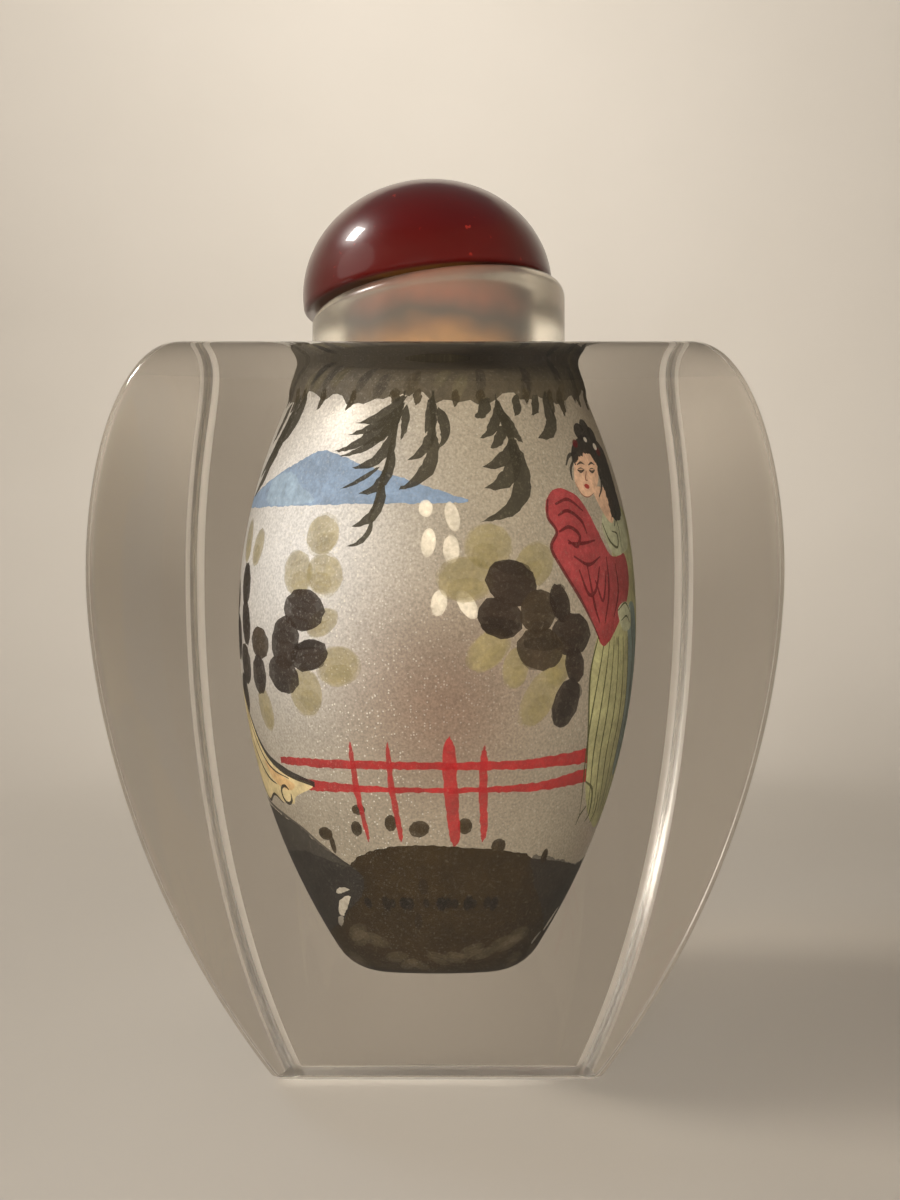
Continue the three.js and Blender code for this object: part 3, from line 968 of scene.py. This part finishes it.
def lady_head(shape, ink, spot, pin):
    """The head, drawn wide because the wall turns away from the front there.

    The face is an even oval, split by thirds, with lowered eyes.
    """
    def on_face(*points):
        return [(HEAD_X + HEAD_WIDEN * u + HEAD_LEAN * v, HEAD_Z + v) for u, v in points]

    def face_ink(width, *points, colour=INK):
        ink(colour, (width, *on_face(*points)))

    shape(on_face((-1.0, 0.9), (-1.12, 0.1), (-0.95, -0.7), (-0.45, -1.35), (0.05, -1.5),
                  (0.5, -1.25), (0.95, -0.5), (1.1, 0.3), (0.9, 1.1), (0.0, 1.4)), SKIN, 1.0)
    for side in (-1, 1):
        eye = -0.08 + 0.5 * side
        face_ink(0.15, (eye - 0.32, 0.46), (eye, 0.6), (eye + 0.32, 0.48))
        face_ink(0.2, (eye - 0.28, 0.14), (eye, 0.04), (eye + 0.28, 0.16))
        face_ink(0.08, (eye - 0.22, 0.2), (eye, 0.26), (eye + 0.22, 0.2))
    face_ink(0.13, (-0.12, 0.1), (-0.2, -0.42), (-0.02, -0.5), colour=NOSE_LINE)
    spot(*on_face((-0.08, -0.86))[0], 0.34, 0.15, LIP)
    face_ink(0.07, (-1.0, -0.6), (-0.45, -1.36), (0.05, -1.52), (0.5, -1.28), colour=NOSE_LINE)
    # Hair: a parted fringe, a fall behind the neck, loose locks, buns and small flowers.
    shape(on_face((-1.0, 0.45), (-1.3, 0.9), (-1.25, 1.6), (-0.7, 2.1), (0.1, 2.3), (1.0, 2.2),
                  (2.4, 1.5), (2.9, 0.6), (3.2, -0.6), (3.6, -1.7), (3.8, -2.6), (2.6, -2.9),
                  (2.0, -2.0), (1.6, -1.0), (1.12, -0.2), (1.0, 0.5), (0.55, 0.98), (0.0, 1.22),
                  (-0.5, 0.95), (-0.8, 0.85)), INK, 0.97, 0.09)
    for lock in (((-1.1, 0.9), (-1.35, 0.2), (-1.2, -0.5)), ((-0.9, 1.2), (-1.5, 1.0), (-1.7, 0.4)),
                 ((1.2, 0.2), (1.3, -0.8), (1.0, -1.5)), ((2.4, -1.6), (2.8, -2.4), (2.6, -3.3))):
        face_ink(0.24, *lock)
    for u, v, wide, tall in ((-0.35, 2.45, 0.6, 0.5), (0.35, 2.7, 0.55, 0.5), (1.1, 2.3, 0.55, 0.45)):
        spot(*on_face((u, v))[0], wide * HEAD_WIDEN, tall, INK, 0.95)
    for u, v, size, colour in ((1.5, 1.3, 0.28, pin), (1.15, 1.6, 0.22, PETAL),
                               (-0.95, 1.75, 0.24, pin), (0.1, 2.0, 0.16, PETAL)):
        spot(*on_face((u, v))[0], size * HEAD_WIDEN, size, colour, 0.9)


def front_lady(x, z):
    """The place of a part of the lady on the right."""
    return x, z


def side_lady(x, z):
    """The place of a part of the lady on the left, who faces the other way."""
    return -x - 13.0, z


def paint_picture():
    """Everything brushed on the wall, back to front; the hidden back is plainer."""
    art = Painting()
    hills(art)
    petals(art)
    sprigs(art)
    bank(art)
    fence(art)
    lady(art, side_lady, CREAM, ROBE_PALE, INK, SASH, HILL_PALE, HILL)
    sleeve(art)
    lady(art, front_lady, ROBE_GREEN, ROBE_PALE, ROBE_LINE, SASH, ROSE, ROSE_DARK)
    crowns(art)
    front_willow(art)
    for x, reach, leaves in ((23, 3.0, 4), (28, 5.0, 6), (33, 3.6, 5), (39, 5.4, 7), (43, 3.0, 4),
                             (-27, 2.6, 4), (-31, 4.6, 6), (-36, 3.4, 5), (-41, 5.0, 6)):
        twig(art, x, 47.0, reach, leaves)
    return art


# ---- The painted lining ----

def lining_profile():
    """The paint's face, bottom to top: running place, radius and height of its points.

    The running place is the height on the wall, and goes on by length beyond it.
    """
    points = [(0.0, CAVITY_FLOOR - PAINT_DEPTH)] + cavity_profile(PAINT_DEPTH)[::-1]
    points.append((BORE_RADIUS + PAINT_DEPTH, BODY_HEIGHT + 0.7))
    length = np.cumsum([0.0] + [math.dist(a, b) for a, b in zip(points, points[1:])])
    radius, height = np.array(points).T
    start = np.where(height >= FOOT_LEVEL - 1e-6)[0][0]
    end = np.where(height <= CAVITY_CEILING - CEILING_CORNER + 1e-6)[0][-1]
    run = height.copy()
    run[:start] = height[start] - (length[start] - length[:start])
    run[end + 1:] = height[end] + (length[end + 1:] - length[end])
    return run, radius, height


LINING_RUN, LINING_R, LINING_Z = lining_profile()
PAINT_BOTTOM = float(LINING_RUN[0])
PAINT_TOP = float(LINING_RUN[-1])


def inside(points, polygon):
    """Which points lie inside a polygon."""
    x, y = points[:, 0], points[:, 1]
    found = np.zeros(len(points), bool)
    x0, y0 = polygon[-1]
    for x1, y1 in polygon:
        crosses = (y0 > y) != (y1 > y)
        if crosses.any():
            at = (x1 - x0) * (y - y0) / (y1 - y0 + 1e-30) + x0
            found ^= crosses & (x < at)
        x0, y0 = x1, y1
    return found


def ground_colour(x, z):
    """The pearly ground, with a painted sheen high on the left and a darker, pinkish patch of painted
    shade low in the middle.
    """
    plain = np.array(srgb(190, 180, 161))
    painted_sheen = np.array(srgb(249, 251, 255))
    pink_shade = np.array(srgb(148, 120, 104))
    sheen_x, sheen_z = -10.0, 38.0
    shade_x, shade_z, shade_reach = 0.5, 28.0, 6.5
    # The painted sheen falls off slowly to the left and fast to the right.
    across = (x - sheen_x) / np.where(x < sheen_x, 16.0, 7.0)
    sheen_share = np.exp(-across ** 2 - ((z - sheen_z) / 10.5) ** 2)[:, None]
    colour = plain * (1 - sheen_share) + painted_sheen * sheen_share
    # A darker, pinkish patch of painted shade, low in the middle.
    along, up = (x - shade_x) / shade_reach, (z - shade_z) / shade_reach
    spot = 0.8 * np.exp(-along ** 2 - up ** 2)[:, None]
    return colour * (1 - spot) + pink_shade * spot


def glint_band_share(x, z):
    """How many flakes show as painted glints: most in a slanting band on the left, where the painted
    highlight falls.
    """
    least, reach = 0.2, 5.0
    band = -7.5 + 0.12 * (34.0 - z)
    return least + (1 - least) * np.exp(-((x - band) / reach) ** 2)[:, None]


def paint_levels():
    """Levels of the wall's points: close together where its profile bends."""
    levels = [LINING_RUN[0]]
    for k in range(1, len(LINING_RUN) - 1):
        step = LINING_RUN[k + 1] - levels[-1]
        straight = FOOT_LEVEL < LINING_RUN[k] < CAVITY_CEILING - CEILING_CORNER
        if not straight or step > PAINT_ROW:
            levels.append(LINING_RUN[k])
    return levels + [LINING_RUN[-1]]


def cut_wall(strokes):
    """The unrolled wall as points and triangles, cut along every brush outline."""
    columns = int(WRAP / PAINT_CELL)
    xs = np.linspace(-HALF_WRAP, HALF_WRAP, columns + 1)
    ys = paint_levels()
    rows = len(ys) - 1
    points = [Vector((x, y)) for y in ys for x in xs]
    edges = []
    width = columns + 1
    for k in range(columns):
        edges += [(k, k + 1), (rows * width + k, rows * width + k + 1)]
    for k in range(rows):
        edges += [(k * width, (k + 1) * width), (k * width + columns, (k + 1) * width + columns)]
    for outline, _, _ in strokes:
        first, count = len(points), len(outline)
        points += [Vector((min(max(x, -HALF_WRAP), HALF_WRAP), min(max(y, PAINT_BOTTOM), PAINT_TOP)))
                   for x, y in outline]
        edges += [(first + k, first + (k + 1) % count) for k in range(count)]
    flat, _, faces, _, _, _ = delaunay_2d_cdt(points, edges, [], 0, 1e-5)
    return np.array([tuple(p) for p in flat]), np.array([f for f in faces if len(f) == 3])


def layered_paint(strokes, flat, faces):
    """The colour and cover of each triangle, from the strokes laid over it."""
    middle = flat[faces].mean(axis=1)
    colour = np.zeros((len(faces), 3))
    cover = np.zeros(len(faces))
    for outline, shade, weight in strokes:
        low, high = outline.min(axis=0), outline.max(axis=0)
        near = np.where(((middle >= low) & (middle <= high)).all(axis=1))[0]
        hit = near[inside(middle[near], outline)]
        old = cover[hit] * (1 - weight)
        total = weight + old
        colour[hit] = (shade * weight + colour[hit] * old[:, None]) / total[:, None]
        cover[hit] = total
    return np.hstack([colour, cover[:, None]])


def roll_up(flat):
    """The unrolled points in their places on the cavity's wall."""
    x, run = flat.T
    angle = x / CAVITY_RADIUS
    radius = np.interp(run, LINING_RUN, LINING_R)
    height = np.interp(run, LINING_RUN, LINING_Z)
    return np.stack([radius * np.sin(angle), -radius * np.cos(angle), height], axis=1)


def make_lining():
    """The paint film, with the ground's colour at its points and the paint's on its faces."""
    strokes = paint_picture().strokes
    flat, faces = cut_wall(strokes)
    mesh = bpy.data.meshes.new("painted_lining")
    mesh.from_pydata([tuple(v * MM) for v in roll_up(flat)], [], faces.tolist())
    # The ground's colour holds the painted sheen and shade; its alpha, the band of painted glints.
    ground = np.hstack([ground_colour(*flat.T), glint_band_share(*flat.T)])
    under = mesh.color_attributes.new("ground", "FLOAT_COLOR", "POINT")
    under.data.foreach_set("color", ground.ravel())
    pigment = np.repeat(layered_paint(strokes, flat, faces), 3, axis=0)
    over = mesh.color_attributes.new("pigment", "FLOAT_COLOR", "CORNER")
    over.data.foreach_set("color", pigment.ravel())
    mesh.materials.append(paint_material())
    lining = link("painted_lining", mesh)
    close_shell(lining)
    return lining


def close_shell(lining):
    """Welds the seam at the back, thickens the film inwards and smooths it."""
    mesh = lining.data
    build = bmesh.new()
    build.from_mesh(mesh)
    bmesh.ops.remove_doubles(build, verts=build.verts, dist=0.0005 * MM)
    build.to_mesh(mesh)
    build.free()
    film = lining.modifiers.new("film", "SOLIDIFY")
    film.thickness = PAINT_THICK * MM
    film.offset = -1.0
    bpy.context.view_layer.objects.active = lining
    bpy.ops.object.modifier_apply(modifier=film.name)
    smooth_shading(lining, 40.0)


# ---- The stopper ----

LATHE_SIDES = 128


def lathe(name, profile, material, smooth_angle=30.0):
    """A turned solid from (radius, height) points, bottom to top."""
    verts, faces = loft([circle(r, z, LATHE_SIDES) for r, z in profile])
    return add_mesh(name, verts, faces, [material], None, smooth_angle)


def place_on_slant(thing, gap):
    """Sets a stopper piece on the neck's slanted top, this gap above it."""
    top = BODY_HEIGHT + NECK_HEIGHT
    at = Vector((DOME_SHIFT, 0, top + DOME_SHIFT * math.tan(TOP_SLANT) + gap)) * MM
    thing.data.transform(Matrix.Translation(at) @ Matrix.Rotation(-TOP_SLANT, 4, "Y"))
    thing.data.update()


def make_dome():
    """The red glass dome with a small rounded lower edge."""
    rounding = 0.4
    profile = [(DOME_RADIUS * share, 0.0) for share in (0.3, 0.7, 0.92)]
    profile += quarter(DOME_RADIUS - rounding, rounding, rounding, -90, 0, 6)
    for turn in np.radians(np.linspace(0, 88.5, 60)[1:]):
        profile.append((DOME_RADIUS * math.cos(turn),
                        DOME_EDGE + (DOME_HEIGHT - DOME_EDGE) * math.sin(turn)))
    dome = lathe("red_dome", profile, red_glass_material())
    place_on_slant(dome, SEAT_GAP - DOME_SINK)
    return dome


def make_plug():
    """The cork plug, worn uneven."""
    chance = random.Random(CORK_SEED)
    taper, wear = 0.35, 0.05
    profile = [(PLUG_RADIUS - 0.5, -PLUG_LENGTH)]
    for share in np.linspace(0.04, 0.99, 24):
        dent = chance.uniform(-wear, wear)
        profile.append((PLUG_RADIUS - taper * (1 - share) + dent - wear, -PLUG_LENGTH * (1 - share)))
    plug = lathe("cork_plug", profile, cork_material(), 50.0)
    # The plug keeps to the bore's axis, so it takes back the dome's shift.
    plug.data.transform(Matrix.Translation(Vector((-DOME_SHIFT, 0, 0.0)) * MM))
    place_on_slant(plug, SEAT_GAP - PLUG_SINK)
    return plug


# ---- Stage, light and camera ----

WARM = (1.0, 0.96, 0.9)
CAMERA_PLACE = (0.9, -82.0, 36.0)
FLOOR_DROP = 0.1           # the floor lies this far under the base
FLOOR_RADIUS = 110.0
SWEEP_RADIUS = 110.0
WALL_HEIGHT = 330.0
STAGE_SIDES = 96


def make_stage():
    """A plain pale floor that sweeps up into a wall all round."""
    profile = [(radius, -FLOOR_DROP) for radius in (2.0, 30.0, FLOOR_RADIUS)]
    for turn in np.radians(np.linspace(0, 90, 40)[1:]):
        profile.append((FLOOR_RADIUS + SWEEP_RADIUS * math.sin(turn),
                        SWEEP_RADIUS - FLOOR_DROP - SWEEP_RADIUS * math.cos(turn)))
    profile.append((FLOOR_RADIUS + SWEEP_RADIUS, WALL_HEIGHT))
    verts, faces = loft([circle(r, z, STAGE_SIDES) for r, z in profile], close_end=False)
    # The stage is seen from inside, so its faces look up and inwards.
    faces = [tuple(reversed(face)) for face in faces]
    stage = add_mesh("stage", verts, faces, [stage_material()])


def add_lamp(name, at, aim, size, power, spread_deg=180, hidden_from=(), shape="SQUARE"):
    """A soft warm lamp that points at its aim and that some kinds of ray don't see."""
    data = bpy.data.lights.new(name, "AREA")
    data.shape = shape
    data.size = size * MM
    data.energy = power
    data.color = WARM
    data.spread = math.radians(spread_deg)
    lamp = link(name, data)
    lamp.location = Vector(at) * MM
    way = Vector(aim) - Vector(at)
    lamp.rotation_euler = way.to_track_quat("-Z", "Y").to_euler()
    for kind in ("camera", *hidden_from):
        setattr(lamp, "visible_" + kind, False)


def light_scene():
    """A warm key from the upper left, soft fills, and lamps for the glass and its shine."""
    world = bpy.data.worlds.new("fill")
    world.use_nodes = True
    feed(world.node_tree.nodes["Background"], {"Color": (1.0, 0.97, 0.92), "Strength": 0.15})
    bpy.context.scene.world = world
    add_lamp("key", (-175, -10, 230), (0, 0, 32), 45, 0.3)
    no_shine = ("glossy", "transmission")
    add_lamp("front_fill", (-20, -150, 44), (0, 0, 48), 60, 0.067, 70, no_shine)
    add_lamp("back_fill", (10, 130, 42), (0, 0, 36), 44, 0.012, 36, no_shine)
    add_lamp("backdrop_light", (-60, -60, 330), (-15, 210, 205), 120, 0.32, 93, no_shine)
    add_lamp("floor_glow", (0, 150, 70), (0, 150, 0), 50, 0.018, 100, no_shine)
    # A pale window low on the left, for reflections alone.
    add_lamp("window", (-170, -75, 120), (0, 0, 60), 130, 0.03,
             hidden_from=("diffuse", "transmission"), shape="DISK")
    # Two panels that are seen only through the glass, far out to the sides.
    for side, power in ((-1, 0.07), (1, 0.05)):
        add_lamp("glass_panel", (150 * side, 95, 130), (0, 0, 32), 180, power,
                 hidden_from=("glossy", "diffuse"))


def add_camera():
    """The photograph's close, level view."""
    data = bpy.data.cameras.new("camera")
    data.sensor_fit = "VERTICAL"
    data.sensor_height = 36.0
    data.lens = 30.8
    data.shift_y = -0.018
    data.clip_start = 1.0 * MM
    camera = link("camera", data)
    camera.location = Vector(CAMERA_PLACE) * MM
    camera.rotation_euler = (math.radians(90), 0, 0)
    bpy.context.scene.camera = camera


def set_light_paths():
    """More bounces than the default, for the thick glass, and colours shown as they are."""
    cycles = bpy.context.scene.cycles
    cycles.max_bounces = 20
    cycles.transmission_bounces = 20
    cycles.glossy_bounces = 12
    cycles.transparent_max_bounces = 16
    bpy.context.scene.view_settings.view_transform = "Standard"


def dress(thing, nodes):
    """Puts a piece in the frame in place of its solids."""
    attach(thing, "root")
    if nodes:
        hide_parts(*nodes)


def main():
    """Builds the scene."""
    dress(make_bottle(), ["bottle"])
    dress(make_lining(), [])
    dress(make_dome(), ["stopper_dome"])
    dress(make_plug(), ["stopper_plug"])
    make_stage()
    light_scene()
    add_camera()
    set_light_paths()


main()
